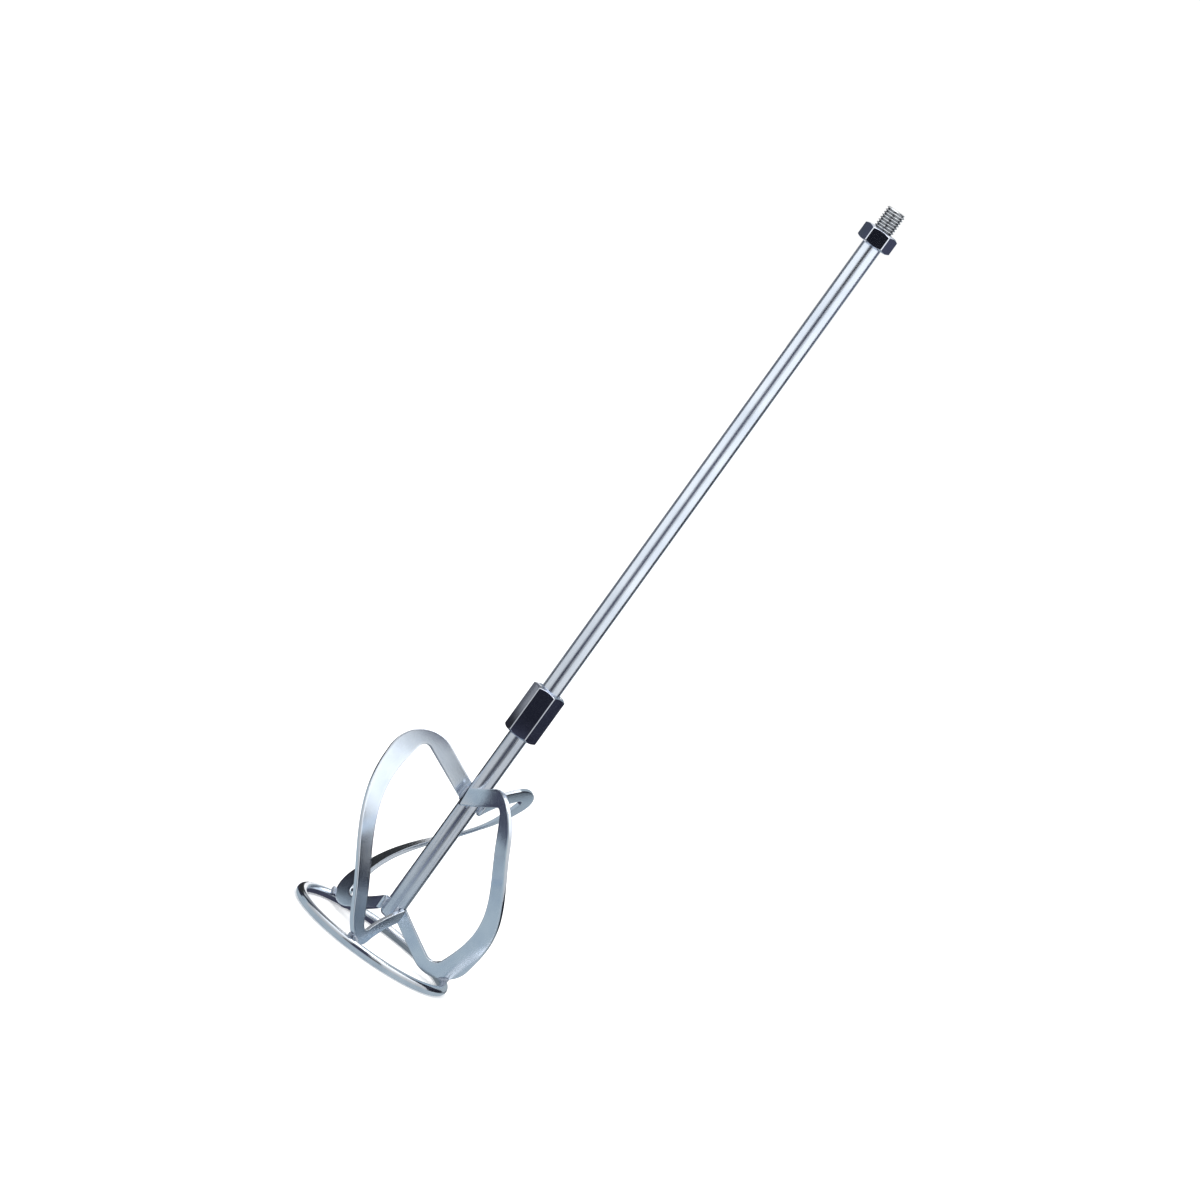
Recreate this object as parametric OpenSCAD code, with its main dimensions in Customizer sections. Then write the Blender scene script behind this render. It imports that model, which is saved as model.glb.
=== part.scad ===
// Mortar mixing paddle: a two-piece round shaft joined by a long hex nut,
// three looped strip blades wound as a left-hand helix, and a round-wire base ring.
// +Z runs up the shaft towards the drive stud; Z = 0 is the underside of the ring.

/* [Shaft] */
// Height of the whole tool, from the underside of the ring to the stud tip
total_h = 600; // [400:5:800]
// Diameter of the shaft and of its threads
shaft_d = 14; // [10:0.5:20]
// Height of the lower end of the lower shaft above the underside of the ring
shaft_foot_z = 22; // [16:0.5:24]
// Chamfer on the shaft ends
shaft_chamfer = 1.2; // [0.6:0.1:1.8]

/* [Threads] */
// Pitch of the threads
pitch = 2; // [1:0.25:2.5]
// Depth of the thread grooves
thread_depth = 1.1; // [0.5:0.05:1.3]
// Width of the flat left on each thread crest
crest_w = 0.4; // [0.25:0.05:0.6]
// Width of the slits that mark the turns of the open stud
slit_w = 0.45; // [0.3:0.05:0.45]
// Depth of those slits
slit_depth = 0.8; // [0.4:0.1:1.1]
// Height of the open stud's first crest above the lock nut
stud_lift = 0.5; // [0.4:0.05:0.8]
// Length of stud that stands above the lock nut
stud_len = 16; // [10:1:30]
// Radial running clearance between a thread crest and a nut's bore
thread_clear = 0.05; // [0.02:0.01:0.1]

/* [Nuts] */
// Width across the flats of both hex nuts
hex_af = 22; // [19:0.5:30]
// Length of the coupling nut
coupling_len = 36.5; // [26:0.5:50]
// Height of the middle of the coupling nut
coupling_z = 190.75; // [175:0.25:260]
// Turn of the coupling nut's front flat from straight ahead, in degrees
coupling_turn = -6; // [-30:1:30]
// Thickness of the lock nut
lock_nut_h = 12; // [8:0.5:16]
// Turn of the lock nut's front flat from straight ahead, in degrees
lock_nut_turn = 1; // [-30:1:30]
// Angle of the chamfer on the nut corners, in degrees
hex_chamfer_angle = 30; // [20:1:40]
// Diameter of the chamfer circle on a nut's end as a share of the width across flats
hex_face_share = 0.93; // [0.88:0.01:0.97]
// Depth of the countersink at each mouth of a nut's bore
countersink = 0.8; // [0.4:0.1:1.2]
// Gap between the two shaft ends inside the coupling nut
shaft_end_gap = 1; // [0.6:0.1:3]

/* [Ring] */
// Diameter of the base ring, centre to centre of the wire
ring_d = 114.8; // [90:0.2:140]
// Diameter of the ring's wire
wire_d = 7.2; // [5:0.1:10]

/* [Blades] */
// Diameter swept by the outer edges of the blades
blade_d = 136; // [126:0.5:160]
// Thickness of the blade strip
strip_t = 3; // [2:0.1:4]
// Width of the upright part of a blade
strip_w = 12.6; // [9:0.1:15]
// Radius of the bow of a blade's outer side
outer_bow_r = 400; // [200:5:600]
// Radius of the bow of its inner side
inner_bow_r = 200; // [150:5:600]
// Height at which a blade is widest
belly_z = 77.5; // [65:0.5:90]
// Width of the upper arm
top_arm_w = 11.8; // [8:0.1:14]
// Width of the lower arm
foot_arm_w = 8.8; // [7:0.1:12]
// Height of the middle of the upper arm where it meets the shaft
top_root_z = 119.2; // [100:0.2:135]
// Rise of the upper arm outwards, in degrees
arm_rise = 25; // [10:0.5:32]
// Fall of the lower arm outwards, in degrees
arm_fall = 29.5; // [20:0.5:34]
// Outer radius of the upper corner
top_corner_r = 24.5; // [18:0.5:30]
// Inner radius of the upper corner
top_inner_r = 5; // [3:0.5:12]
// Outer radius of the lower corner
foot_corner_r = 21.5; // [18:0.5:26]
// Inner radius of the lower corner
foot_inner_r = 7; // [4:0.5:12]
// Turn of a blade about the shaft for each millimetre of height, in degrees
twist_rate = 0.47; // [0.3:0.005:0.6]
// Azimuth of the first blade at its reference height
blade_1_azimuth = -29.2; // [-180:0.1:180]
// Azimuth of the second blade at its reference height
blade_2_azimuth = -142.1; // [-180:0.1:180]
// Azimuth of the third blade at its reference height
blade_3_azimuth = 92; // [-180:0.1:180]
// Height at which the blade azimuths are taken
azimuth_z = 76; // [50:1:100]
// Distance of a blade's cut ends from the plane through the axis square to the arm
root_u = 2; // [1:0.1:4]
// Gap between a lapped blade end and the side of the shaft
lap_gap = 0.12; // [0.05:0.01:0.3]
// Gap between a blade's lower corner and the ring wire, square to the corner
foot_gap = 0.95; // [0.9:0.05:1.6]

/* [Welds] */
// Radius of the weld beads along the blade ends
root_bead_r = 1.7; // [1.4:0.1:2.4]
// Radius of the weld lumps where the blades stand on the ring
foot_bead_r = 3.4; // [3:0.1:4.4]
// Gap left between a weld and the round bars it sits on
weld_gap = 0.04; // [0.02:0.01:0.1]

/* [View] */
// Piece to show

/* [Hidden] */
$fn = 64;
shaft_r = shaft_d / 2;
wire_r = wire_d / 2;
ring_r = ring_d / 2;
blade_r = blade_d / 2;
bore_r = shaft_r + thread_clear;
coupling_z0 = coupling_z - coupling_len / 2;
coupling_z1 = coupling_z + coupling_len / 2;
lock_z1 = total_h - stud_len;
lock_z0 = lock_z1 - lock_nut_h;
lower_top_z = coupling_z - shaft_end_gap / 2;
upper_foot_z = coupling_z + shaft_end_gap / 2;
join_turns = floor((coupling_len / 2 - shaft_end_gap / 2 - shaft_chamfer) / pitch);
stud_z0 = lock_z1 + stud_lift;
nut_turns = floor((lock_nut_h + stud_lift) / pitch);

// Line of the lapped joint: distance of the strip's middle from the shaft axis
lap_off = shaft_r + strip_t / 2 + lap_gap;

// Lower corner: its arc touches the bowed side and stands clear of the ring wire by foot_gap
foot_reach = foot_corner_r + wire_r + foot_gap;
foot_bow = foot_bow_angle(6);
foot_cu = corner_u(foot_bow);
foot_cv = belly_z - (outer_bow_r - foot_corner_r) * sin(foot_bow);
foot_touch_u = foot_cu - foot_corner_r * sin(arm_fall);
foot_touch_v = foot_cv - foot_corner_r * cos(arm_fall);
foot_out_v = foot_touch_v + (foot_touch_u - root_u) * tan(arm_fall);
foot_in_v = foot_out_v + foot_arm_w / cos(arm_fall);
foot_root_z = (foot_out_v + foot_in_v) / 2;
top_out_v = top_root_z + top_arm_w / 2 / cos(arm_rise);
top_in_v = top_out_v - top_arm_w / cos(arm_rise);
mid_loop_z = (top_in_v + foot_in_v) / 2;
half_loop_z = (top_in_v - foot_in_v) / 2;

// Steps along the arms, the corners and the upright, and across the strip
arm_n = 7;
corner_n = 10;
side_n = 24;
across_n = 2;

function unit(v) = v / norm(v);

// Distance from the axis of the lower outer corner's centre, at angle b along the bow
function corner_u(b) = blade_r - outer_bow_r + (outer_bow_r - foot_corner_r) * cos(b);

function corner_v(u) = wire_r + sqrt(foot_reach * foot_reach - (ring_r - u) * (ring_r - u));

// That angle, settled in n steps so that the corner keeps its gap to the ring
function foot_bow_angle(n) =
  n == 0
    ? 0
    : asin((belly_z - corner_v(corner_u(foot_bow_angle(n - 1)))) / (outer_bow_r - foot_corner_r));

// Points of the arc about c from p round to q
function arc(c, p, q, n) =
  let (
    v0 = p - c,
    v1 = q - c,
    ang = atan2(cross(v0, v1), v0 * v1)
  )
  [
    for (i = [0 : n])
      let (t = ang * i / n)
      c + [v0.x * cos(t) - v0.y * sin(t), v0.x * sin(t) + v0.y * cos(t)]
  ];

// Centre of the corner arc of radius r between a line from p along d, with m its inward
// normal, and the bow of radius bow_r about c
function corner_centre(p, d, m, c, bow_r, r) =
  let (
    q = p + m * r,
    w = q - c,
    along = w * d
  )
  q + d * (sqrt(along * along - w * w + (bow_r - r) * (bow_r - r)) - along);

// Points strictly between p and q
function between(p, q, n) = [for (i = [1 : n - 1]) p + (q - p) * i / n];

// One edge of the flat blade plate, from the upper cut end round to the lower one
function edge(top_v, foot_v, r_out, bow_r, r_top, r_foot) =
  let (
    c = [r_out - bow_r, belly_z],
    p0 = [root_u, top_v],
    m0 = [sin(arm_rise), -cos(arm_rise)],
    c0 = corner_centre(p0, [cos(arm_rise), sin(arm_rise)], m0, c, bow_r, r_top),
    p3 = [root_u, foot_v],
    m3 = [sin(arm_fall), cos(arm_fall)],
    c3 = corner_centre(p3, [cos(arm_fall), -sin(arm_fall)], m3, c, bow_r, r_foot),
    b0 = c + unit(c0 - c) * bow_r,
    b3 = c + unit(c3 - c) * bow_r,
    side = arc(c, b0, b3, side_n)
  )
  concat(
    [p0],
    between(p0, c0 - m0 * r_top, arm_n),
    arc(c0, c0 - m0 * r_top, b0, corner_n),
    [for (i = [1 : side_n - 1]) side[i]],
    arc(c3, b3, c3 - m3 * r_foot, corner_n),
    between(c3 - m3 * r_foot, p3, arm_n),
    [p3]
  );

// Place of a plate point: u outwards, t to the side, v up, turned with height
function place(u, t, v, az) =
  let (a = az - twist_rate * (v - azimuth_z))
  [u * cos(a) + t * sin(a), u * sin(a) - t * cos(a), v];

// Sideways offset of the plate, which laps one side of the shaft above and the other below
function side_of(v) = lap_off * sin(90 * max(-1, min(1, (v - mid_loop_z) / half_loop_z)));

function skin(u, v, az) = place(u, side_of(v), v, az);

// Direction square to the twisted plate
function square_to(u, v, az) =
  unit(cross(skin(u + 0.01, v, az) - skin(u, v, az), skin(u, v + 0.01, az) - skin(u, v, az)));

// Both faces of the strip: station k, side s (0 or 1), step j across
function strip_points(az) =
  let (
    outer = edge(top_out_v, foot_out_v, blade_r, outer_bow_r, top_corner_r, foot_corner_r),
    inner = edge(top_in_v, foot_in_v, blade_r - strip_w, inner_bow_r, top_inner_r, foot_inner_r)
  )
  [
    for (k = [0 : len(outer) - 1])
      for (s = [-1, 1])
        for (j = [0 : across_n])
          let (p = outer[k] + (inner[k] - outer[k]) * j / across_n)
          skin(p.x, p.y, az) + square_to(p.x, p.y, az) * s * strip_t / 2
  ];

function strip_faces(count) =
  let (
    w = across_n + 1,
    row = 2 * w
  )
  concat(
    [
      for (k = [0 : count - 2])
        for (j = [0 : across_n - 1])
          for (f = quad(k * row + j, k * row + j + 1, (k + 1) * row + j + 1, (k + 1) * row + j)) f
    ],
    [
      for (k = [0 : count - 2])
        for (j = [0 : across_n - 1])
          for (f = quad(
            (k + 1) * row + w + j,
            (k + 1) * row + w + j + 1,
            k * row + w + j + 1,
            k * row + w + j
          )) f
    ],
    [
      for (k = [0 : count - 2])
        for (f = quad((k + 1) * row, (k + 1) * row + w, k * row + w, k * row)) f
    ],
    [
      for (k = [0 : count - 2])
        for (f = quad(
          k * row + across_n,
          k * row + w + across_n,
          (k + 1) * row + w + across_n,
          (k + 1) * row + across_n
        )) f
    ],
    [for (j = [0 : across_n - 1]) for (f = quad(w + j, w + j + 1, j + 1, j)) f],
    [
      for (j = [0 : across_n - 1])
        let (b = (count - 1) * row)
        for (f = quad(b + j, b + j + 1, b + w + j + 1, b + w + j)) f
    ]
  );

function quad(a, b, c, d) = [[a, b, c], [a, c, d]];

module strip(az) {
  pts = strip_points(az);
  polyhedron(points = pts, faces = strip_faces(len(pts) / (2 * across_n + 2)));
}

// Round bar with chamfered ends
module bar(z0, z1) {
  rotate_extrude()
    polygon([
      [0, z0],
      [shaft_r - shaft_chamfer, z0],
      [shaft_r, z0 + shaft_chamfer],
      [shaft_r, z1 - shaft_chamfer],
      [shaft_r - shaft_chamfer, z1],
      [0, z1]
    ]);
}

// Thread grooves as plain rings, cut downwards from a height
module grooves(z_top, turns) {
  half = (pitch - crest_w) / 2;
  for (i = [0 : turns - 1])
    translate([0, 0, z_top - (i + 0.5) * pitch])
      rotate_extrude()
        polygon([
          [shaft_r - thread_depth, -half * 0.15],
          [shaft_r - thread_depth, half * 0.15],
          [shaft_r + 0.5, half + 0.35],
          [shaft_r + 0.5, -half - 0.35]
        ]);
}

// Narrow slits that mark the turns of the open stud and leave its outside one wall
module turn_slits(z0, z1) {
  for (i = [1 : floor((z1 - z0) / pitch)])
    translate([0, 0, z0 + i * pitch])
      rotate_extrude()
        translate([shaft_r - slit_depth, -slit_w / 2])
          square([slit_depth + 0.5, slit_w]);
}

// Hex prism with both ends turned to a chamfer circle, and a countersunk bore
module hex_nut(h, turn) {
  face_r = hex_af / 2 * hex_face_share;
  corner_r = hex_af / 2 / cos(30);
  outer_r = corner_r + 1;
  drop = (outer_r - face_r) * tan(hex_chamfer_angle);
  difference() {
    intersection() {
      rotate([0, 0, turn])
        cylinder(h = h, r = corner_r, $fn = 6);
      rotate_extrude()
        polygon([
          [0, 0],
          [face_r, 0],
          [outer_r, drop],
          [outer_r, h - drop],
          [face_r, h],
          [0, h]
        ]);
    }
    translate([0, 0, -1])
      cylinder(h = h + 2, r = bore_r);
    translate([0, 0, -0.01])
      cylinder(h = countersink + 0.01, r1 = bore_r + countersink, r2 = bore_r);
    translate([0, 0, h - countersink])
      cylinder(h = countersink + 0.01, r1 = bore_r, r2 = bore_r + countersink);
  }
}

// Straight bead between two points
module bead(p, q, r) {
  d = q - p;
  translate(p)
    rotate([0, acos(d.z / norm(d)), atan2(d.y, d.x)])
      cylinder(h = norm(d), r = r);
}

// The two beads that tie one lapped blade end to the shaft
module lap_beads(az, root_z, arm_w, side) {
  reach = arm_w / 2 - root_bead_r * 0.3;
  out_t = shaft_r - root_bead_r;
  out_u = sqrt((shaft_r + root_bead_r) * (shaft_r + root_bead_r) - out_t * out_t);
  difference() {
    union() {
      bead(
        place(out_u, side * out_t, root_z - reach, az),
        place(out_u, side * out_t, root_z + reach, az),
        root_bead_r
      );
      bead(
        place(root_u - root_bead_r * 0.5, side * (shaft_r + 0.6), root_z - reach, az),
        place(root_u - root_bead_r * 0.5, side * (shaft_r + 0.6), root_z + reach, az),
        root_bead_r * 0.8
      );
    }
    cylinder(h = coupling_z0, r = shaft_r + weld_gap);
    strip(az);
  }
}

// Lump where the lower corner of one blade stands on the ring wire
module foot_bead(az) {
  lean = atan2(foot_cv - wire_r, ring_r - foot_cu);
  u = foot_cu + foot_corner_r * cos(lean);
  v = foot_cv - foot_corner_r * sin(lean);
  difference() {
    translate(skin(u, v, az))
      sphere(r = foot_bead_r);
    rotate_extrude()
      translate([ring_r, wire_r])
        circle(r = wire_r + weld_gap);
    strip(az);
  }
}

module lower_shaft() {
  color([0.66, 0.70, 0.76])
    difference() {
      bar(shaft_foot_z, lower_top_z);
      grooves(lower_top_z - shaft_chamfer, join_turns);
    }
}

module upper_shaft() {
  color([0.68, 0.72, 0.78])
    difference() {
      bar(upper_foot_z, total_h);
      grooves(upper_foot_z + shaft_chamfer + join_turns * pitch, join_turns);
      grooves(stud_z0, nut_turns);
      turn_slits(stud_z0, total_h - shaft_chamfer);
    }
}

module coupling_nut() {
  color([0.30, 0.33, 0.40])
    translate([0, 0, coupling_z0])
      hex_nut(coupling_len, coupling_turn);
}

module lock_nut() {
  color([0.28, 0.30, 0.38])
    translate([0, 0, lock_z0])
      hex_nut(lock_nut_h, lock_nut_turn);
}

module blade_1() {
  color([0.60, 0.66, 0.73])
    strip(blade_1_azimuth);
}

module blade_2() {
  color([0.62, 0.68, 0.75])
    strip(blade_2_azimuth);
}

module blade_3() {
  color([0.58, 0.64, 0.71])
    strip(blade_3_azimuth);
}

module base_ring() {
  color([0.55, 0.60, 0.67])
    rotate_extrude()
      translate([ring_r, wire_r])
        circle(r = wire_r);
}

module shaft_top_welds() {
  color([0.50, 0.53, 0.58]) {
    lap_beads(blade_1_azimuth, top_root_z, top_arm_w, 1);
    lap_beads(blade_2_azimuth, top_root_z, top_arm_w, 1);
    lap_beads(blade_3_azimuth, top_root_z, top_arm_w, 1);
  }
}

module shaft_foot_welds() {
  color([0.50, 0.53, 0.58]) {
    lap_beads(blade_1_azimuth, foot_root_z, foot_arm_w, -1);
    lap_beads(blade_2_azimuth, foot_root_z, foot_arm_w, -1);
    lap_beads(blade_3_azimuth, foot_root_z, foot_arm_w, -1);
  }
}

module ring_welds() {
  color([0.50, 0.53, 0.58]) {
    foot_bead(blade_1_azimuth);
    foot_bead(blade_2_azimuth);
    foot_bead(blade_3_azimuth);
  }
}

lower_shaft();
upper_shaft();
coupling_nut();
lock_nut();
blade_1();
blade_2();
blade_3();
base_ring();
shaft_top_welds();
shaft_foot_welds();
ring_welds();
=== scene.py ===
import math

import bpy
import numpy as np
from mathutils import Matrix, Vector


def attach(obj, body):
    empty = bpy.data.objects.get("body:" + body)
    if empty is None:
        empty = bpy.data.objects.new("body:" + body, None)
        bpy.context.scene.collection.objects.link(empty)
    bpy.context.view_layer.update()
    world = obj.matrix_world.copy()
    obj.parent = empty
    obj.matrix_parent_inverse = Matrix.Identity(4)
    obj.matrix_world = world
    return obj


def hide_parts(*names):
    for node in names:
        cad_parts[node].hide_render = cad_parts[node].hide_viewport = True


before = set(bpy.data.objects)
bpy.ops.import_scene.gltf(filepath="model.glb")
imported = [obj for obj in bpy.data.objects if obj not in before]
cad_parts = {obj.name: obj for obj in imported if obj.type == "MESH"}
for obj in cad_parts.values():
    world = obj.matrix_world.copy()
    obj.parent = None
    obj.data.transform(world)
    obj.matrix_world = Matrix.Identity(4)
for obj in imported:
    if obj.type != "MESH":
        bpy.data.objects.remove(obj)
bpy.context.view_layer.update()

# ---------------------------------------------------------------------------
# Studio: a white sheet of paper for a floor, a broad soft lamp above, and tall
# bent cards round the tool, which bright zinc needs to show its roundness. The
# cards are seen only in reflections, and their greys change with height.
scene = bpy.context.scene
scene.view_settings.view_transform = "Standard"

world = bpy.data.worlds.new("white_room")
world.use_nodes = True
world.node_tree.nodes["Background"].inputs["Color"].default_value = (1.0, 1.0, 1.0, 1)
world.node_tree.nodes["Background"].inputs["Strength"].default_value = 1.02
scene.world = world


def link(tree, out_socket, in_socket):
    tree.links.new(out_socket, in_socket)


def plain_mesh(name, verts, faces, smooth=True):
    mesh = bpy.data.meshes.new(name)
    mesh.from_pydata([tuple(v) for v in verts], [], [tuple(f) for f in faces])
    mesh.update()
    if smooth:
        mesh.polygons.foreach_set("use_smooth", [True] * len(mesh.polygons))
    obj = bpy.data.objects.new(name, mesh)
    scene.collection.objects.link(obj)
    return obj


paper = bpy.data.materials.new("white_paper")
paper.use_nodes = True
paper_shader = paper.node_tree.nodes["Principled BSDF"]
paper_shader.inputs["Base Color"].default_value = (0.95, 0.955, 0.96, 1)
paper_shader.inputs["Roughness"].default_value = 0.9
paper_shader.inputs["Emission Color"].default_value = (1, 1, 1, 1)
paper_shader.inputs["Emission Strength"].default_value = 0.2
floor_half = 9.0
floor_corners = [(floor_half * i, floor_half * j, 0) for i, j in ((-1, -1), (1, -1), (1, 1), (-1, 1))]
floor = plain_mesh("floor", floor_corners, [(0, 1, 2, 3)], False)
floor.data.materials.append(paper)


card_far = 0.30
card_foot = 0.0005
flat_card_lift = 0.0004


def card(name, from_deg, to_deg, tint, greys, high=0.75, flat=False):
    """A bent card that stands round the tool, or a flat one on the floor.

    Degrees count from the front to the viewer's right, and greys are pairs of
    a height in metres and a brightness.
    """
    ends = ((card_far, card_foot), (card_far, high))
    if flat:
        ends = ((0.0, flat_card_lift), (card_far, flat_card_lift))
    steps = 24
    verts = []
    for i in range(steps + 1):
        a = math.radians(from_deg + (to_deg - from_deg) * i / steps - 90)
        verts += [(r * math.cos(a), r * math.sin(a), z) for r, z in ends]
    faces = [(2 * i, 2 * i + 2, 2 * i + 3, 2 * i + 1) for i in range(steps)]
    obj = plain_mesh(name, verts, faces, False)
    material = bpy.data.materials.new(name)
    material.use_nodes = True
    tree = material.node_tree
    tree.nodes.remove(tree.nodes["Principled BSDF"])
    coords = tree.nodes.new("ShaderNodeTexCoord")
    split = tree.nodes.new("ShaderNodeSeparateXYZ")
    link(tree, coords.outputs["Object"], split.inputs[0])
    ramp = tree.nodes.new("ShaderNodeValToRGB")
    stops = ramp.color_ramp.elements
    while len(stops) < len(greys):
        stops.new(0.5)
    for stop, (height, grey) in zip(stops, greys):
        stop.position = height
        stop.color = (grey, grey, grey, 1)
    link(tree, split.outputs["Z"], ramp.inputs["Fac"])
    glow = tree.nodes.new("ShaderNodeEmission")
    glow.inputs["Color"].default_value = (*tint, 1)
    link(tree, ramp.outputs["Color"], glow.inputs["Strength"])
    link(tree, glow.outputs["Emission"], tree.nodes["Material Output"].inputs["Surface"])
    obj.data.materials.append(material)
    obj.visible_camera = False
    obj.visible_diffuse = False
    obj.visible_shadow = False
    obj.visible_transmission = False


white = (0.96, 0.98, 1.0)
navy = (0.62, 0.66, 1.0)
floor_blue = (0.77, 0.90, 1.0)
near_nuts = [(0.135, 0.03), (0.18, 0.03), (0.2, 0.12), (0.5, 0.12), (0.52, 0.02)]
front_foot = [(0, 0.30), (0.03, 0.24), (0.05, 0.05), (0.10, 0.05), (0.125, 0.16)]
card("front_card", -18, 11, navy, front_foot + near_nuts)
right_foot = [(0, 0.36), (0.035, 0.30), (0.055, 0.09), (0.10, 0.10), (0.13, 0.22)]
card("front_grey_card_right", 11, 26, white, right_foot + [(0.2, 0.55), (0.3, 0.75), (0.6, 0.75)])
left_foot = [(0, 0.36), (0.035, 0.30), (0.055, 0.12), (0.10, 0.14), (0.13, 0.30)]
card("front_grey_card_left", -28, -18, white, left_foot + [(0.2, 0.6), (0.3, 0.8), (0.6, 0.8)])
card("right_card", 26, 98, white, [(0, 0.54), (0.14, 0.66), (0.26, 1.12), (0.6, 1.2)], high=1.0)
card("left_card", -98, -28, white, [(0, 0.50), (0.14, 0.62), (0.3, 1.1), (0.6, 1.1)])
dark_foot = [(0, 0.02), (0.12, 0.03), (0.14, 0.06), (0.18, 0.06), (0.2, 0.03), (0.45, 0.03)]
card("right_dark_card", 98, 136, navy, dark_foot + [(0.5, 0.13), (0.6, 0.13), (0.63, 0.0)], high=4.0)
card("right_grey_card", 136, 180, floor_blue, [(0, 0.46), (0.6, 0.46)])
side_foot = [(0, 0.55), (0.115, 0.55), (0.135, 0.08), (0.18, 0.06)]
card("left_side_card", -116, -98, floor_blue, side_foot + [(0.2, 0.13), (0.6, 0.13)])
card("left_dark_card", -130, -116, navy, [(0, 0.03), (0.18, 0.05), (0.2, 0.13), (0.6, 0.13)])
grey_foot = [(0, 0.03), (0.137, 0.03), (0.15, 0.50), (0.18, 0.50)]
card("left_grey_card", -165, -130, white, grey_foot + [(0.2, 0.3), (0.6, 0.3)])
card("front_floor_card", -98, 98, floor_blue, [(0, 0.53), (0.6, 0.53)], flat=True)
card("left_floor_card", -180, -98, navy, [(0, 0.09), (0.6, 0.09)], flat=True)
card("right_floor_card", 98, 180, floor_blue, [(0, 0.24), (0.6, 0.24)], flat=True)


def lamp(name, place, aim, size, watts):
    data = bpy.data.lights.new(name, "AREA")
    data.shape = "RECTANGLE"
    data.size, data.size_y = size
    data.energy = watts
    obj = bpy.data.objects.new(name, data)
    obj.location = place
    obj.rotation_euler = (Vector(aim) - Vector(place)).to_track_quat("-Z", "Y").to_euler()
    scene.collection.objects.link(obj)


lamp("top_softbox", (0.0, -0.3, 2.4), (0, 0, 0.2), (2.4, 2.4), 30)

# ---------------------------------------------------------------------------
# Camera: a long lens from just above the middle of the shaft, rolled so that
# the shaft leans to the right.
view_tilt = math.radians(6.559)
view_roll = math.radians(35.792)
view_far = 3.4397
view_aim = Vector((-0.00884, 0.0, 0.27766))
back = Vector((0, -math.cos(view_tilt), math.sin(view_tilt)))
level = Vector((1, 0, 0))
upright = back.cross(level)
right = math.cos(view_roll) * level + math.sin(view_roll) * upright
top = -math.sin(view_roll) * level + math.cos(view_roll) * upright

camera_data = bpy.data.cameras.new("camera")
camera_data.sensor_width = 36
camera_data.lens = 156
camera_data.clip_end = 50
camera = bpy.data.objects.new("camera", camera_data)
turned_to_view = Matrix((right, top, back)).transposed().to_4x4()
camera.matrix_world = Matrix.Translation(view_aim + back * view_far) @ turned_to_view
scene.collection.objects.link(camera)
scene.camera = camera

# ---------------------------------------------------------------------------
# Blades: three pieces of 3 mm strip, punched flat as a C with bowed sides and
# round corners, tumbled so that their edges are soft, then twisted into a
# left-hand helix; their edges are painted paler as a painted highlight. They
# are zinc plated with the head after welding.
mm = 0.001
blade_r = 68.0
strip_t = 3.0
strip_w = 12.6
outer_bow_r = 400.0
inner_bow_r = 200.0
belly_z = 77.5
top_arm_w = 11.8
foot_arm_w = 8.8
arm_rise = math.radians(25)
arm_fall = math.radians(29.5)
top_root_z = 119.2
top_corner_r = 24.5
top_inner_r = 5.0
foot_corner_r = 21.5
foot_inner_r = 7.0
twist_rate = math.radians(0.47)
azimuth_z = 76.0
blade_azimuths = {"blade_1": -29.2, "blade_2": -142.1, "blade_3": 92.0}
root_u = 2.0
shaft_r = 7.0
lap_gap = 0.12
lap_off = shaft_r + strip_t / 2 + lap_gap
ring_r = 57.4
wire_r = 3.6
foot_gap = 0.95
edge_round = 0.6

# the lower corner rests its arc against the ring wire, foot_gap away
foot_reach = foot_corner_r + wire_r + foot_gap
bow = 0.0
for _ in range(6):
    foot_cu = blade_r - outer_bow_r + (outer_bow_r - foot_corner_r) * math.cos(bow)
    foot_cv = wire_r + math.sqrt(foot_reach**2 - (ring_r - foot_cu) ** 2)
    bow = math.asin((belly_z - foot_cv) / (outer_bow_r - foot_corner_r))
foot_cu = blade_r - outer_bow_r + (outer_bow_r - foot_corner_r) * math.cos(bow)
foot_cv = belly_z - (outer_bow_r - foot_corner_r) * math.sin(bow)
foot_out_v = foot_cv - foot_corner_r * math.cos(arm_fall)
foot_out_v += (foot_cu - foot_corner_r * math.sin(arm_fall) - root_u) * math.tan(arm_fall)
foot_in_v = foot_out_v + foot_arm_w / math.cos(arm_fall)
foot_root_z = (foot_out_v + foot_in_v) / 2
top_out_v = top_root_z + top_arm_w / 2 / math.cos(arm_rise)
top_in_v = top_out_v - top_arm_w / math.cos(arm_rise)
loop_mid = (top_in_v + foot_in_v) / 2
loop_half = (top_in_v - foot_in_v) / 2


def arc(c, p, q, n):
    """Points of the arc about c from p round to q."""
    (x0, y0), (x1, y1) = p - c, q - c
    turn = math.atan2(x0 * y1 - y0 * x1, float((p - c) @ (q - c)))
    points = []
    for t in np.linspace(0, turn, n + 1):
        across = x0 * math.cos(t) - y0 * math.sin(t)
        points.append(c + np.array([across, x0 * math.sin(t) + y0 * math.cos(t)]))
    return points


def corner_centre(p, d, m, c, bow_r, r):
    """Centre of the corner arc between a line from p along d and the bow about c."""
    q = p + m * r
    w = q - c
    along = float(w @ d)
    return q + d * (math.sqrt(along**2 - float(w @ w) + (bow_r - r) ** 2) - along)


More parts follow.
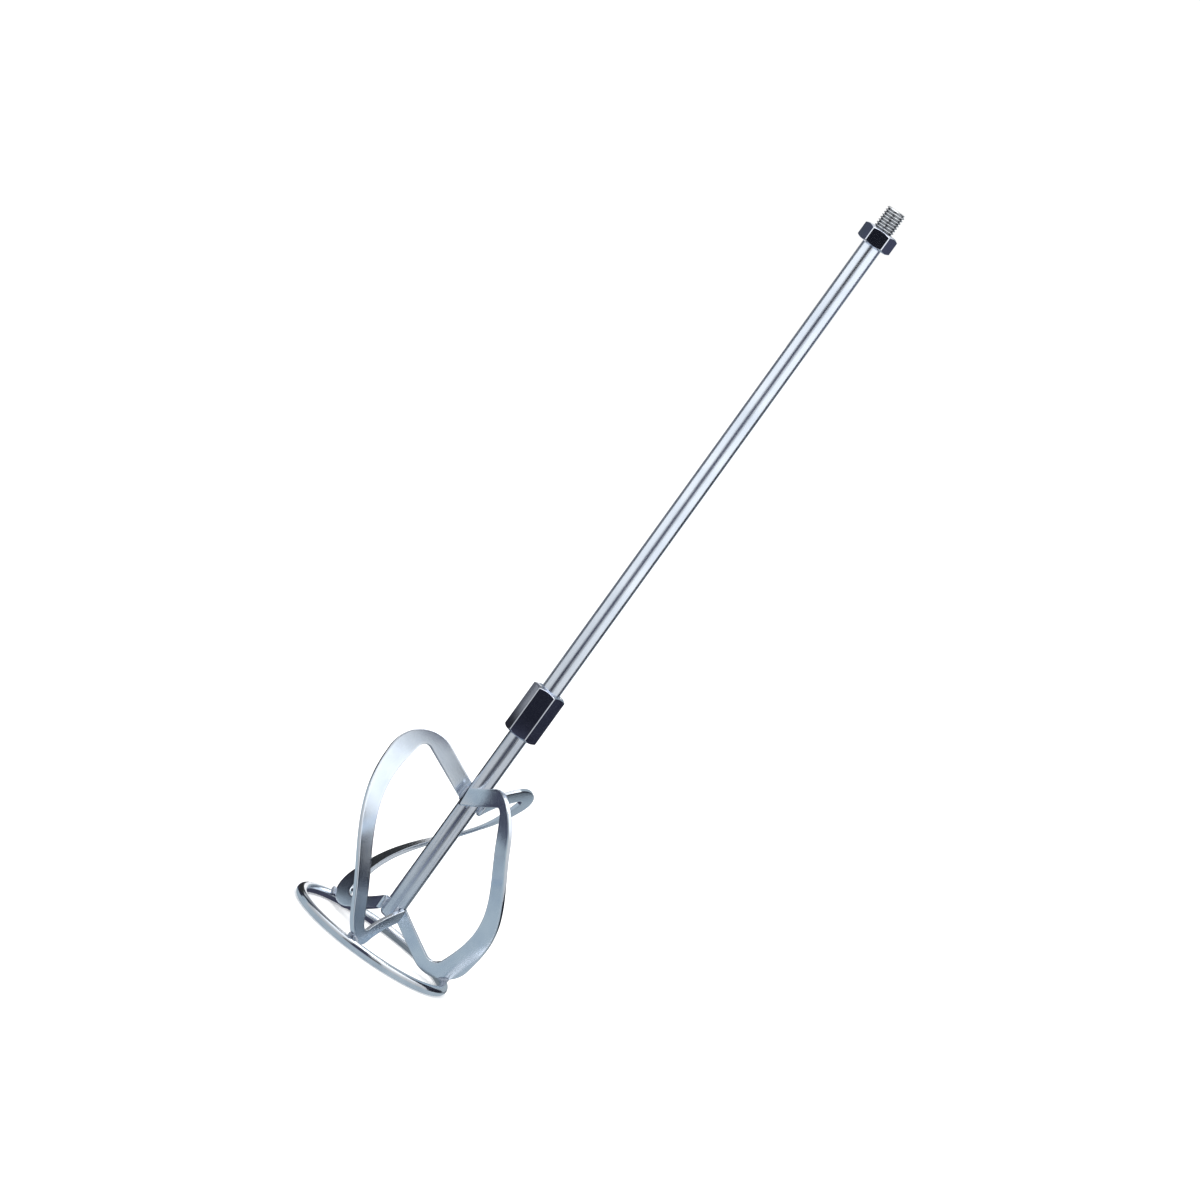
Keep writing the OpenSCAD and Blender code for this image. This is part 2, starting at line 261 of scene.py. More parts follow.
def plate_edge(top_v, foot_v, r_out, bow_r, r_top, r_foot, n_arm=24, n_corner=36, n_side=90):
    """One edge of the flat C, from the upper cut end round to the lower one."""
    c = np.array([r_out - bow_r, belly_z])
    p0 = np.array([root_u, top_v])
    d0 = np.array([math.cos(arm_rise), math.sin(arm_rise)])
    m0 = np.array([math.sin(arm_rise), -math.cos(arm_rise)])
    c0 = corner_centre(p0, d0, m0, c, bow_r, r_top)
    p3 = np.array([root_u, foot_v])
    d3 = np.array([math.cos(arm_fall), -math.sin(arm_fall)])
    m3 = np.array([math.sin(arm_fall), math.cos(arm_fall)])
    c3 = corner_centre(p3, d3, m3, c, bow_r, r_foot)
    b0 = c + (c0 - c) / np.linalg.norm(c0 - c) * bow_r
    b3 = c + (c3 - c) / np.linalg.norm(c3 - c) * bow_r
    points = list(np.linspace(p0, c0 - m0 * r_top, n_arm, endpoint=False))
    points += arc(c0, c0 - m0 * r_top, b0, n_corner)
    points += arc(c, b0, b3, n_side)[1:-1] + arc(c3, b3, c3 - m3 * r_foot, n_corner)
    points += list(np.linspace(c3 - m3 * r_foot, p3, n_arm + 1))[1:]
    return np.array(points)


def flat_plate(name):
    """The punched plate before its twist: x outwards, y through the strip, z up, in mm."""
    outer = plate_edge(top_out_v, foot_out_v, blade_r, outer_bow_r, top_corner_r, foot_corner_r)
    inner = plate_edge(top_in_v, foot_in_v, blade_r - strip_w, inner_bow_r, top_inner_r, foot_inner_r)
    thick = strip_t / 2
    bend = np.linspace(0, math.pi / 2, 5)
    rim = [(edge_round * (1 - math.cos(t)), thick - edge_round * (1 - math.sin(t))) for t in bend]
    # The faces next to the edges take part of the painted edge highlight.
    face = ((0.08, 0.6), (0.2, 0), (0.5, 0), (0.8, 0), (0.92, 0.6))
    section = [("o", a, -y, 1) for a, y in rim[::-1]] + [("o", a, y, 1) for a, y in rim]
    section += [("m", f, thick, highlight_weight) for f, highlight_weight in face]
    section += [("i", a, y, 1) for a, y in rim[::-1]] + [("i", a, -y, 1) for a, y in rim]
    section += [("m", f, -thick, highlight_weight) for f, highlight_weight in face[::-1]]
    verts = []
    for o, i in zip(outer, inner):
        width = np.linalg.norm(i - o)
        for kind, across, through, _ in section:
            f = {"o": across / width, "i": 1 - across / width, "m": across}[kind]
            q = o + (i - o) * f
            verts.append((q[0], through, q[1]))
    n, m = len(outer), len(section)
    faces = []
    for k in range(n - 1):
        for j in range(m):
            a, b = k * m + j, k * m + (j + 1) % m
            faces.append((a, b, b + m, a + m))
    faces.append(tuple(range(m))[::-1])
    faces.append(tuple((n - 1) * m + j for j in range(m)))
    plate = plain_mesh(name, verts, faces)
    # Painted highlight: these weights mark the edges whose colour is painted paler.
    edge_highlight = plate.data.attributes.new("rim", "FLOAT", "POINT")
    edge_highlight.data.foreach_set("value", [s[3] for s in section] * n)
    return plate


def math_node(tree, kind, a, b=None, c=None):
    node = tree.nodes.new("ShaderNodeMath")
    node.operation = kind
    for socket, value in zip(node.inputs, (a, b, c)):
        if value is None:
            continue
        if hasattr(value, "links"):
            link(tree, value, socket)
        else:
            socket.default_value = value
    return node.outputs[0]


def sums(tree):
    """The arithmetic of one tree: add, subtract, multiply, divide, least and most."""
    kinds = ("ADD", "SUBTRACT", "MULTIPLY", "DIVIDE", "MINIMUM", "MAXIMUM")
    return [lambda *values, kind=kind: math_node(tree, kind, *values) for kind in kinds]


def scaled(tree, vector, factor):
    node = tree.nodes.new("ShaderNodeVectorMath")
    node.operation = "SCALE"
    link(tree, vector, node.inputs[0])
    link(tree, factor, node.inputs["Scale"])
    return node.outputs[0]


def vector_of(tree, x, y, z):
    node = tree.nodes.new("ShaderNodeCombineXYZ")
    for socket, value in zip(node.inputs, (x, y, z)):
        if value is not None:
            link(tree, value, socket)
    return node.outputs[0]


def moved(tree, geometry, how, vector):
    """Sets each point's Position, or shifts it by an Offset."""
    node = tree.nodes.new("GeometryNodeSetPosition")
    link(tree, geometry, node.inputs["Geometry"])
    link(tree, vector, node.inputs[how])
    return node.outputs[0]


def point_xyz(tree):
    split = tree.nodes.new("ShaderNodeSeparateXYZ")
    link(tree, tree.nodes.new("GeometryNodeInputPosition").outputs[0], split.inputs[0])
    return split.outputs


def tree_start(name, inputs):
    """A Geometry Nodes tree with named number inputs, a Material input and one geometry."""
    tree = bpy.data.node_groups.new(name, "GeometryNodeTree")
    tree.interface.new_socket("Geometry", in_out="INPUT", socket_type="NodeSocketGeometry")
    ids = {}
    for label, value in inputs.items():
        kind = "NodeSocketInt" if isinstance(value, int) else "NodeSocketFloat"
        socket = tree.interface.new_socket(label, in_out="INPUT", socket_type=kind)
        socket.default_value = value
        ids[label] = socket.identifier
    coat = tree.interface.new_socket("Material", in_out="INPUT", socket_type="NodeSocketMaterial")
    ids["Material"] = coat.identifier
    tree.interface.new_socket("Geometry", in_out="OUTPUT", socket_type="NodeSocketGeometry")
    return tree, tree.nodes.new("NodeGroupInput"), tree.nodes.new("NodeGroupOutput"), ids


def tree_end(tree, geometry, group_in, group_out):
    realize = tree.nodes.new("GeometryNodeRealizeInstances")
    link(tree, geometry, realize.inputs[0])
    coat = tree.nodes.new("GeometryNodeSetMaterial")
    link(tree, realize.outputs[0], coat.inputs["Geometry"])
    link(tree, group_in.outputs["Material"], coat.inputs["Material"])
    link(tree, coat.outputs[0], group_out.inputs[0])


def baked(source, tree, ids, values, name):
    """Runs a tree on a piece and keeps the result as a plain mesh."""
    modifier = source.modifiers.new("shape", "NODES")
    modifier.node_group = tree
    for label, value in values.items():
        modifier[ids[label]] = value
    bpy.context.view_layer.update()
    graph = bpy.context.evaluated_depsgraph_get()
    shaped = source.evaluated_get(graph)
    mesh = bpy.data.meshes.new_from_object(shaped, preserve_all_data_layers=True, depsgraph=graph)
    source.modifiers.remove(modifier)
    mesh.name = name
    obj = bpy.data.objects.new(name, mesh)
    scene.collection.objects.link(obj)
    return obj


# The twist: each point turns about the shaft in step with its height, and the
# thickness is laid off square to the twisted surface.
twist, t_in, t_out, twist_ids = tree_start(
    "helix_twist",
    {
        "Twist Rate": float(twist_rate),
        "Reference Height": azimuth_z,
        "Azimuth": 0.0,
        "Lap Offset": lap_off,
        "Loop Middle": loop_mid,
        "Loop Half": loop_half,
        "Scale": mm,
    },
)
u_out, through, height = point_xyz(twist)
add, subtract, multiply, divide, least, most = sums(twist)
ratio = divide(subtract(height, t_in.outputs["Loop Middle"]), t_in.outputs["Loop Half"])
ratio = most(least(ratio, 1.0), -1.0)
swing = multiply(ratio, math.pi / 2)
side = multiply(math_node(twist, "SINE", swing), t_in.outputs["Lap Offset"])
side_slope = multiply(math_node(twist, "COSINE", swing), t_in.outputs["Lap Offset"])
side_slope = divide(multiply(side_slope, math.pi / 2), t_in.outputs["Loop Half"])
slope = add(multiply(u_out, t_in.outputs["Twist Rate"]), side_slope)
steep = math_node(twist, "SQRT", add(multiply(slope, slope), 1.0))
along_side = add(side, divide(through, steep))
along_up = subtract(height, divide(multiply(through, slope), steep))
turn = twist.nodes.new("ShaderNodeVectorRotate")
turn.rotation_type = "Z_AXIS"
link(twist, vector_of(twist, u_out, multiply(along_side, -1.0), along_up), turn.inputs["Vector"])
angle = multiply(subtract(height, t_in.outputs["Reference Height"]), t_in.outputs["Twist Rate"])
link(twist, subtract(t_in.outputs["Azimuth"], angle), turn.inputs["Angle"])
in_metres = scaled(twist, turn.outputs[0], t_in.outputs["Scale"])
tree_end(twist, moved(twist, t_in.outputs["Geometry"], "Position", in_metres), t_in, t_out)


def zinc(name, dark, bright, rough, grain, bump, clouds_per_m, spread, rim=0.0, groove=False):
    """Zinc plate: a cool metal with soft clouds of tone and fine grain along the way it was worked.

    rim makes the edges smoother and paints them paler as a painted highlight, and groove paints shade into
    the bottom of a thread.
    """
    material = bpy.data.materials.new(name)
    material.use_nodes = True
    tree = material.node_tree
    nodes = tree.nodes
    shader = nodes["Principled BSDF"]
    shader.inputs["Metallic"].default_value = 1.0
    coords = nodes.new("ShaderNodeTexCoord")
    stretch = nodes.new("ShaderNodeMapping")
    stretch.inputs["Scale"].default_value = grain
    link(tree, coords.outputs["Object"], stretch.inputs["Vector"])
    fine = nodes.new("ShaderNodeTexNoise")
    fine.inputs["Scale"].default_value = 1.0
    fine.inputs["Detail"].default_value = 6
    fine.inputs["Roughness"].default_value = 0.62
    link(tree, stretch.outputs["Vector"], fine.inputs["Vector"])
    clouds = nodes.new("ShaderNodeTexNoise")
    clouds.inputs["Scale"].default_value = clouds_per_m
    clouds.inputs["Detail"].default_value = 5
    link(tree, coords.outputs["Object"], clouds.inputs["Vector"])
    blend = nodes.new("ShaderNodeMix")
    blend.data_type = "FLOAT"
    blend.inputs[0].default_value = 0.3
    link(tree, clouds.outputs["Fac"], blend.inputs[2])
    link(tree, fine.outputs["Fac"], blend.inputs[3])
    color = nodes.new("ShaderNodeValToRGB")
    color.color_ramp.elements[0].position = 0.36
    color.color_ramp.elements[0].color = (*dark, 1)
    color.color_ramp.elements[1].position = 0.64
    color.color_ramp.elements[1].color = (*bright, 1)
    link(tree, blend.outputs[0], color.inputs["Fac"])
    dull = nodes.new("ShaderNodeMapRange")
    dull.inputs["From Min"].default_value = 0.3
    dull.inputs["From Max"].default_value = 0.7
    dull.inputs["To Min"].default_value = rough - spread
    dull.inputs["To Max"].default_value = rough + spread
    link(tree, fine.outputs["Fac"], dull.inputs["Value"])
    tone, roughness = color.outputs["Color"], dull.outputs["Result"]
    if rim:
        # Painted highlight: the colour is mixed towards near-white along edges and corners.
        edge_highlight = nodes.new("ShaderNodeAttribute")
        edge_highlight.attribute_name = "rim"
        edge_highlight_mix = nodes.new("ShaderNodeMix")
        edge_highlight_mix.data_type = "RGBA"
        link(tree, math_node(tree, "MULTIPLY", edge_highlight.outputs["Fac"], 0.4), edge_highlight_mix.inputs[0])
        link(tree, tone, edge_highlight_mix.inputs[6])
        edge_highlight_mix.inputs[7].default_value = (0.93, 0.95, 0.98, 1)
        tone = edge_highlight_mix.outputs[2]
        smoother = math_node(tree, "MULTIPLY", edge_highlight.outputs["Fac"], rim)
        roughness = math_node(tree, "SUBTRACT", roughness, smoother)
    if groove:
        # Painted shade: the base colour is darkened towards near-black at the bottom of each thread groove.
        depth = nodes.new("ShaderNodeAttribute")
        depth.attribute_name = "groove"
        painted_groove_shade = nodes.new("ShaderNodeMix")
        painted_groove_shade.data_type = "RGBA"
        link(tree, math_node(tree, "MULTIPLY", depth.outputs["Fac"], 0.62), painted_groove_shade.inputs[0])
        link(tree, tone, painted_groove_shade.inputs[6])
        painted_groove_shade.inputs[7].default_value = (0.05, 0.055, 0.065, 1)
        tone = painted_groove_shade.outputs[2]
    link(tree, tone, shader.inputs["Base Color"])
    link(tree, roughness, shader.inputs["Roughness"])
    relief = nodes.new("ShaderNodeBump")
    relief.inputs["Strength"].default_value = bump
    relief.inputs["Distance"].default_value = 0.0001
    link(tree, fine.outputs["Fac"], relief.inputs["Height"])
    link(tree, relief.outputs["Normal"], shader.inputs["Normal"])
    return material


blade_dark, blade_bright = (0.71, 0.79, 0.90), (0.84, 0.91, 0.98)
blade_zinc = zinc("blade_zinc", blade_dark, blade_bright, 0.21, (1500, 1500, 900), 0.25, 60, 0.05, rim=0.08)
blank = flat_plate("blade_blank")
for node_name, azimuth in blade_azimuths.items():
    values = {"Azimuth": math.radians(azimuth), "Material": blade_zinc}
    blade = baked(blank, twist, twist_ids, values, node_name + "_strip")
    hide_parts(node_name)
    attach(blade, "mixing_head")
bpy.data.objects.remove(blank)

# ---------------------------------------------------------------------------
# Upper shaft: a bright drawn 14 mm bar, chamfered at both ends. An M14 x 2
# right-hand thread is rolled on its top for the drive and on its foot for the
# coupling nut. The faint lines of drawing run along it.
total_h = 600.0
pitch = 2.0
thread_depth = 1.1
chamfer = 1.2
coupling_z = 190.75
end_gap = 1.0
upper_foot_z = coupling_z + end_gap / 2
stud_foot_z = 572.3

thread, t_in, t_out, thread_ids = tree_start(
    "rolled_thread",
    {
        "Pitch": pitch,
        "Depth": thread_depth,
        "Crest Share": 0.16,
        "Root Share": 0.14,
        "Radius": shaft_r,
        "From": 0.0,
        "To": 1.0,
        "Runout": 1.5,
        "Scale": mm,
    },
)
x, y, z = point_xyz(thread)
add, subtract, multiply, divide, least, most = sums(thread)
round_share = divide(math_node(thread, "ARCTAN2", y, x), 2 * math.pi)
phase = math_node(thread, "FRACT", subtract(divide(z, t_in.outputs["Pitch"]), round_share))
from_middle = multiply(math_node(thread, "ABSOLUTE", subtract(phase, 0.5)), 2.0)
below_crest = subtract(subtract(1.0, t_in.outputs["Crest Share"]), from_middle)
flank = subtract(subtract(1.0, t_in.outputs["Crest Share"]), t_in.outputs["Root Share"])
cut = least(most(divide(below_crest, flank), 0.0), 1.0)
fade_low = divide(subtract(z, t_in.outputs["From"]), t_in.outputs["Runout"])
fade_high = divide(subtract(t_in.outputs["To"], z), t_in.outputs["Runout"])
fade = least(most(least(fade_low, fade_high), 0.0), 1.0)
rolled_r = subtract(t_in.outputs["Radius"], multiply(multiply(cut, fade), t_in.outputs["Depth"]))
radius = math_node(thread, "SQRT", add(multiply(x, x), multiply(y, y)))
shrink = divide(least(radius, rolled_r), most(radius, 0.001))
rolled = vector_of(thread, multiply(x, shrink), multiply(y, shrink), z)
in_metres = scaled(thread, rolled, t_in.outputs["Scale"])
tree_end(thread, moved(thread, t_in.outputs["Geometry"], "Position", in_metres), t_in, t_out)


def turned(name, profile, around=96):
    """A turned piece from (radius, height) pairs that start and end on the axis, in mm."""
    angles = np.linspace(0, 2 * math.pi, around, endpoint=False)
    verts = [(0, 0, profile[0][1])]
    for r, h in profile[1:-1]:
        verts += [(r * math.cos(a), r * math.sin(a), h) for a in angles]
    verts.append((0, 0, profile[-1][1]))
    rows = len(profile) - 2
    faces = [(0, 1 + (i + 1) % around, 1 + i) for i in range(around)]
    for k in range(rows - 1):
        for i in range(around):
            a, b = 1 + k * around + i, 1 + k * around + (i + 1) % around
            faces.append((a, b, b + around, a + around))
    last = 1 + (rows - 1) * around
    faces += [(last + i, last + (i + 1) % around, last + around) for i in range(around)]
    return plain_mesh(name, verts, faces)


plain_step = 6.0
thread_step = 0.16


def bar_profile(low, high, threads):
    """Outline of a chamfered bar, with close rings where it is threaded."""
    heights = {low + chamfer, high - chamfer, low + chamfer + 0.05, high - chamfer - 0.05}
    heights.update(np.arange(low + chamfer, high - chamfer, plain_step))
    for start, stop in threads:
        first, last = max(start, low + chamfer), min(stop, high - chamfer)
        heights.update(np.arange(first, last, thread_step))
    body = [(shaft_r, h) for h in sorted(heights)]
    face = shaft_r - chamfer
    foot = [(0, low), (face * 0.5, low), (face - 0.1, low), (face, low + 0.03)]
    foot += [(face + chamfer * f, low + chamfer * f) for f in (0.2, 0.4, 0.6, 0.8, 0.96)]
    tip = [(face + chamfer * f, high - chamfer * f) for f in (0.96, 0.8, 0.6, 0.4, 0.2)]
    return foot + body + tip + [(face, high - 0.03), (face - 0.1, high), (face * 0.5, high), (0, high)]


shaft_dark, shaft_bright = (0.69, 0.75, 0.84), (0.85, 0.90, 0.97)
shaft_zinc = zinc("shaft_zinc", shaft_dark, shaft_bright, 0.24, (1400, 1400, 25), 0.3, 40, 0.05)
thread_dark, thread_bright = (0.50, 0.52, 0.55), (0.76, 0.78, 0.80)
thread_grain = (900, 900, 900)
thread_zinc = zinc("thread_zinc", thread_dark, thread_bright, 0.24, thread_grain, 0.25, 90, 0.05, groove=True)


def threaded_bar(name, low, high, threads):
    """A bar with its threads rolled one after the other, and their lengths in their own finish."""
    part = turned(name + "_blank", bar_profile(low, high, threads))
    for number, (start, stop) in enumerate(threads):
        last = number == len(threads) - 1
        values = {"From": start, "To": stop, "Scale": mm if last else 1.0, "Material": shaft_zinc}
        piece = baked(part, thread, thread_ids, values, name)
        bpy.data.objects.remove(part)
        part = piece
    part.data.materials.append(thread_zinc)
    for face in part.data.polygons:
        if any(start + 0.5 < face.center.z / mm < stop for start, stop in threads):
            face.material_index = 1
    count = len(part.data.vertices)
    where = np.empty(count * 3)
    part.data.vertices.foreach_get("co", where)
    where = where.reshape(count, 3) / mm
    # How deep each point sits in the thread; this sets the painted shade in the groove bottoms.
    sunk = (shaft_r - np.hypot(where[:, 0], where[:, 1])) / thread_depth
    on_chamfer = (where[:, 2] < low + chamfer) | (where[:, 2] > high - chamfer)
    # Painted shade: the chamfers at the bar's ends take part of the same darkening.
    sunk[on_chamfer] = 0.35
    depth = part.data.attributes.new("groove", "FLOAT", "POINT")
    depth.data.foreach_set("value", np.clip(sunk, 0, 1) ** 0.7)
    part.data.set_sharp_from_angle(angle=math.radians(38))
    return part


joined_len = 17.0
past_end = 3
foot_thread = (upper_foot_z - past_end, upper_foot_z + joined_len)
stud_thread = (stud_foot_z, total_h + past_end)
upper = threaded_bar("upper_shaft_bar", upper_foot_z, total_h, [foot_thread, stud_thread])
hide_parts("upper_shaft")
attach(upper, "upper")

# ---------------------------------------------------------------------------
# Lower shaft: the same drawn bar, cut shorter, that carries the blades. Its top
# is threaded for the coupling nut and its foot stops just under the lower arms.
shaft_foot_z = 22.0
lower_top_z = coupling_z - end_gap / 2
top_thread = (lower_top_z - joined_len, lower_top_z + past_end)
lower = threaded_bar("lower_shaft_bar", shaft_foot_z, lower_top_z, [top_thread])
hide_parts("lower_shaft")
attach(lower, "mixing_head")

# ---------------------------------------------------------------------------
# Coupling nut and lock nut: cold-formed 22 mm hexagons with slightly rounded
# corners, chamfered by turning and countersunk at both mouths, in bright blue
# zinc. The long one joins the two shafts; the short one jams against the mixer.
coupling_len = 36.5
coupling_turn = -6
lock_len = 12.0
lock_top_z = 584.0
lock_turn = 1
hex_af = 22.0
corner_round = 1.1
flat_dish = 0.035
chamfer_face_r = hex_af / 2 * 0.93
chamfer_slope = math.tan(math.radians(30))
bore_r = 7.05
countersink = 0.8


def hex_outline():
    """(angle, radius, how near a corner) round a hexagon whose flat faces angle 0."""
    points = []
    centre = (hex_af / 2 - corner_round) / math.cos(math.pi / 6)
    for k in range(6):
        at = math.radians(60 * k + 30)
        for d in np.linspace(-math.pi / 6, math.pi / 6, 9):
            px = centre + corner_round * math.cos(d)
            py = corner_round * math.sin(d)
            points.append((at + math.atan2(py, px), math.hypot(px, py), 1.0))
        middle = at + math.pi / 6
        end = centre * math.sin(math.pi / 6)
        for f in (-0.985, -0.95, -0.85, -0.6, -0.3, 0, 0.3, 0.6, 0.85, 0.95, 0.985):
            out = hex_af / 2 - flat_dish * (1 - f * f)
            near = max(0.0, abs(f) - 0.9) * 10
            points.append((middle + math.atan2(end * f, hex_af / 2), math.hypot(end * f, out), near))
    return points


def hex_nut(name, low, high, turn_deg, material):
    """A nut from its outline: each column of points runs from the bore out, up and back."""
    outline = hex_outline()
    columns = []
    tall = high - low
    for _, r, _ in outline:
        drop = max(0.08, (r - chamfer_face_r) * chamfer_slope)
        side = [(bore_r, tall / 2), (bore_r, countersink + 0.06), (bore_r + 0.04, countersink)]
        side += [(bore_r + countersink - 0.05, 0.05), (bore_r + countersink, 0)]
        side += [(chamfer_face_r - 0.25, 0), (chamfer_face_r - 0.08, 0.01), (chamfer_face_r + 0.06, 0.06)]
        slant = r - chamfer_face_r - 0.06
        side += [(r - slant * f, 0.06 + (drop - 0.06) * (1 - f)) for f in (0.5, 0.1)]
        side += [(r - 0.015, drop + 0.06), (r, drop + 0.22), (r, drop + 0.6), (r, tall / 2)]
        columns.append(side + [(q, tall - h) for q, h in side[-2:0:-1]])
    start = math.radians(turn_deg - 90)
    verts = []
    for (a, _, _), column in zip(outline, columns):
        to_x, to_y = math.cos(start + a) * mm, math.sin(start + a) * mm
        verts += [(q * to_x, q * to_y, (low + h) * mm) for q, h in column]
    m, n = len(columns[0]), len(columns)
    faces = []
    for i in range(n):
        for j in range(m):
            a, b = i * m + j, i * m + (j + 1) % m
            c, d = ((i + 1) % n) * m + (j + 1) % m, ((i + 1) % n) * m + j
            faces.append((a, d, c, b))
    nut = plain_mesh(name, verts, faces)
    # Painted highlight: the corners get a paler colour through these weights.
    edge_highlight = nut.data.attributes.new("rim", "FLOAT", "POINT")
    edge_highlight.data.foreach_set("value", [near for _, _, near in outline for _ in range(m)])
    nut.data.set_sharp_from_angle(angle=math.radians(50))
    nut.data.materials.append(material)
    return nut


nut_dark, nut_bright = (0.50, 0.54, 0.64), (0.66, 0.70, 0.80)
nut_zinc = zinc("nut_zinc", nut_dark, nut_bright, 0.11, (500, 500, 1200), 0.01, 70, 0.008, rim=0.03)
coupling_foot_z, coupling_top_z = coupling_z - coupling_len / 2, coupling_z + coupling_len / 2
coupling = hex_nut("coupling_hex_nut", coupling_foot_z, coupling_top_z, coupling_turn, nut_zinc)
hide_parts("coupling_nut")
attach(coupling, "coupling")
lock = hex_nut("lock_hex_nut", lock_top_z - lock_len, lock_top_z, lock_turn, nut_zinc)
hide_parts("lock_nut")
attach(lock, "lock")

# ---------------------------------------------------------------------------
# Base ring: 7 mm round wire rolled into a hoop and butt welded, so it is not
# quite even along its length. It is plated bright with the head.
wire_trim = 0.05
wire, w_in, w_out, wire_ids = tree_start(
    "rolled_wire",
    {
        "Ring Radius": ring_r * mm,
        "Wire Radius": (wire_r - wire_trim) * mm,
        "Waver": 0.06 * mm,
        "Seed": 7,
        "Height": wire_r * mm,
    },
)


def swept(tree, path, section):
    """A round section swept along a path; returns the node, so that its other inputs can be set."""
    node = tree.nodes.new("GeometryNodeCurveToMesh")
    link(tree, path, node.inputs["Curve"])
    link(tree, section, node.inputs["Profile Curve"])
    return node


def circle(tree, points):
    node = tree.nodes.new("GeometryNodeCurvePrimitiveCircle")
    node.inputs["Resolution"].default_value = points
    return node


def unevenness(tree, grain, detail, seed, amount):
    """A push along each point's normal, up to half of amount either way."""
    noise = tree.nodes.new("ShaderNodeTexNoise")
    noise.noise_dimensions = "4D"
    noise.inputs["Scale"].default_value = grain
    noise.inputs["Detail"].default_value = detail
    link(tree, seed, noise.inputs["W"])
    sway = math_node(tree, "MULTIPLY", math_node(tree, "SUBTRACT", noise.outputs["Fac"], 0.5), amount)
    return scaled(tree, tree.nodes.new("GeometryNodeInputNormal").outputs[0], sway)


hoop = circle(wire, 360)
link(wire, w_in.outputs["Ring Radius"], hoop.inputs["Radius"])
wire_section = circle(wire, 40)
link(wire, w_in.outputs["Wire Radius"], wire_section.inputs["Radius"])
rod = swept(wire, hoop.outputs["Curve"], wire_section.outputs["Curve"])
wire_seed = math_node(wire, "MULTIPLY", w_in.outputs["Seed"], 1.37)
shift = wire.nodes.new("ShaderNodeVectorMath")
link(wire, unevenness(wire, 60, 2, wire_seed, w_in.outputs["Waver"]), shift.inputs[0])
link(wire, vector_of(wire, None, None, w_in.outputs["Height"]), shift.inputs[1])
tree_end(wire, moved(wire, rod.outputs[0], "Offset", shift.outputs[0]), w_in, w_out)

ring_dark, ring_bright = (0.70, 0.75, 0.82), (0.90, 0.93, 0.97)
ring_zinc = zinc("ring_zinc", ring_dark, ring_bright, 0.14, (1100, 1100, 1100), 0.2, 50, 0.04)
seed_point = plain_mesh("ring_blank", [(0, 0, 0)], [])
ring = baked(seed_point, wire, wire_ids, {"Material": ring_zinc}, "base_ring_wire")
bpy.data.objects.remove(seed_point)
ring.data.polygons.foreach_set("use_smooth", [True] * len(ring.data.polygons))
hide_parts("base_ring")
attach(ring, "mixing_head")

# ---------------------------------------------------------------------------
# Welds: short fillets of electrode metal, rippled where each drop froze, two
# beside every lapped blade end on the shaft and two at each blade's foot on
# the ring. They are plated over, so they are grey rather than burnt.
weld, w_in, w_out, weld_ids = tree_start(
    "weld_fillet",
    {
        "Bead Radius": 1.5 * mm,
        "Ripple": 0.09,
        "Ripple Length": 0.9 * mm,
        "Lumpiness": 0.25 * mm,
        "Seed": 3,
    },
)
to_curve = weld.nodes.new("GeometryNodeMeshToCurve")
link(weld, w_in.outputs["Geometry"], to_curve.inputs[0])
even = weld.nodes.new("GeometryNodeResampleCurve")
even.inputs["Count"].default_value = 60
link(weld, to_curve.outputs[0], even.inputs["Curve"])
add, subtract, multiply, divide, least, most = sums(weld)
along = weld.nodes.new("GeometryNodeSplineParameter")
ripples = multiply(divide(along.outputs["Length"], w_in.outputs["Ripple Length"]), 2 * math.pi)
wave = math_node(weld, "SINE", ripples)
taper = math_node(weld, "SINE", multiply(along.outputs["Factor"], math.pi))
taper = math_node(weld, "POWER", most(taper, 0.0), 0.35)
swell = add(multiply(wave, w_in.outputs["Ripple"]), 1.0)
size = multiply(multiply(swell, w_in.outputs["Bead Radius"]), most(taper, 0.05))
set_size = weld.nodes.new("GeometryNodeSetCurveRadius")
link(weld, even.outputs[0], set_size.inputs["Curve"])
link(weld, size, set_size.inputs["Radius"])
bead_section = circle(weld, 24)
bead_section.inputs["Radius"].default_value = 1.0
bead = swept(weld, set_size.outputs[0], bead_section.outputs["Curve"])
bead.inputs["Fill Caps"].default_value = True
link(weld, weld.nodes.new("GeometryNodeInputRadius").outputs[0], bead.inputs["Scale"])
weld_seed = multiply(w_in.outputs["Seed"], 2.11)
lumps = unevenness(weld, 420, 3, weld_seed, w_in.outputs["Lumpiness"])
tree_end(weld, moved(weld, bead.outputs[0], "Offset", lumps), w_in, w_out)

weld_dark, weld_bright = (0.42, 0.46, 0.54), (0.62, 0.66, 0.74)
weld_zinc = zinc("weld_zinc", weld_dark, weld_bright, 0.3, (1500, 1500, 1500), 0.6, 220, 0.08)


def beside_plane(u, side, v, az_deg):
    """A point u out from the axis and side off a blade's own plane at height v, in metres."""
    a = math.radians(az_deg) - twist_rate * (v - azimuth_z)
    across = u * math.cos(a) + side * math.sin(a)
    return (across * mm, (u * math.sin(a) - side * math.cos(a)) * mm, v * mm)


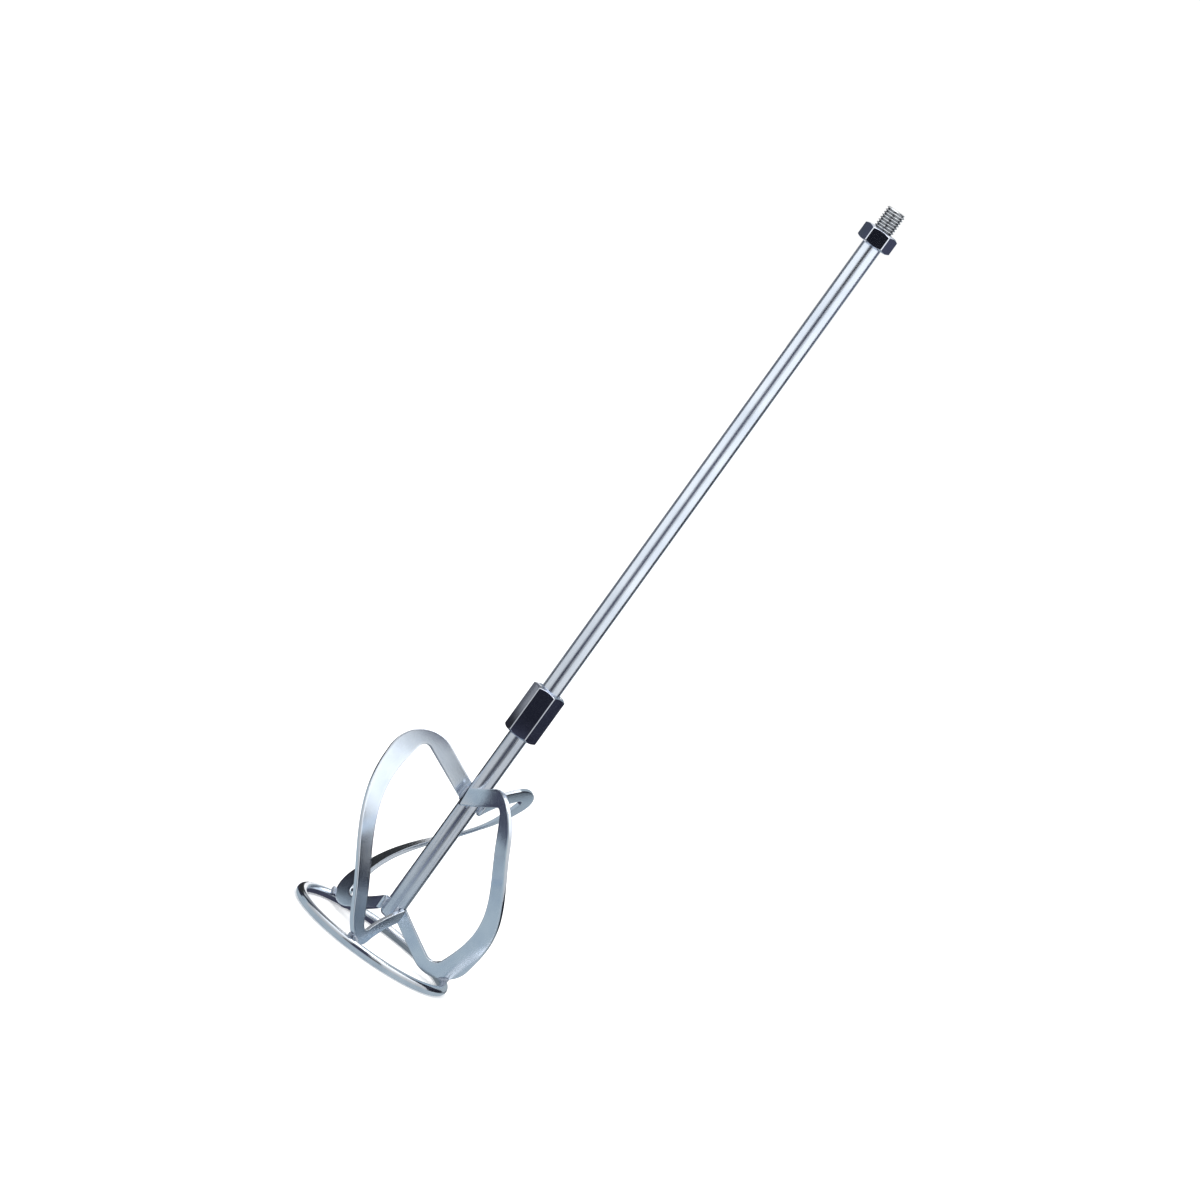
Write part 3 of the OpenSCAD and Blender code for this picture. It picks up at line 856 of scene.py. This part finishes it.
def weld_group(name, node_name, paths, radius, seed):
    """Lays a fillet along each path and keeps them together as one piece."""
    verts, edges = [], []
    for path in paths:
        edges += [(len(verts) + i, len(verts) + i + 1) for i in range(len(path) - 1)]
        verts += path
    mesh = bpy.data.meshes.new(name + "_paths")
    mesh.from_pydata(verts, edges, [])
    lines = bpy.data.objects.new(name + "_paths", mesh)
    scene.collection.objects.link(lines)
    values = {"Bead Radius": radius * mm, "Seed": seed, "Material": weld_zinc}
    beads = baked(lines, weld, weld_ids, values, name)
    bpy.data.objects.remove(lines)
    beads.data.polygons.foreach_set("use_smooth", [True] * len(beads.data.polygons))
    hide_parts(node_name)
    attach(beads, "mixing_head")


lap_bead = 1.2


def root_paths(root_z, arm_w, side_sign):
    """Two fillets beside each lapped end: one outside it on the shaft, one along its cut end."""
    reach = arm_w / 2 - 0.4
    out_side = shaft_r - lap_bead
    out_u = math.sqrt((shaft_r + lap_bead) ** 2 - out_side**2)
    heights = np.linspace(root_z - reach, root_z + reach, 8)
    paths = []
    for az in blade_azimuths.values():
        for u, side in ((out_u, out_side), (root_u - 0.9, shaft_r + 0.6)):
            paths.append([beside_plane(u, side_sign * side, v, az) for v in heights])
    return paths


weld_r = 1.3
weld_group("shaft_top_fillets", "shaft_top_welds", root_paths(top_root_z, top_arm_w, 1), weld_r, 3)
weld_group("shaft_foot_fillets", "shaft_foot_welds", root_paths(foot_root_z, foot_arm_w, -1), weld_r, 5)

lean = math.atan2(foot_cv - wire_r, ring_r - foot_cu)
corner_weld_r = foot_corner_r + 0.4
foot_paths = []
for az in blade_azimuths.values():
    for off in (-strip_t / 2 - 0.5, strip_t / 2 + 0.5):
        path = []
        for turn in np.linspace(lean - 0.17, lean + 0.17, 9):
            u = foot_cu + corner_weld_r * math.cos(turn)
            v = foot_cv - corner_weld_r * math.sin(turn)
            in_loop = max(-1.0, min(1.0, (v - loop_mid) / loop_half))
            path.append(beside_plane(u, lap_off * math.sin(math.pi / 2 * in_loop) + off, v, az))
        foot_paths.append(path)
weld_group("ring_fillets", "ring_welds", foot_paths, 1.7, 11)
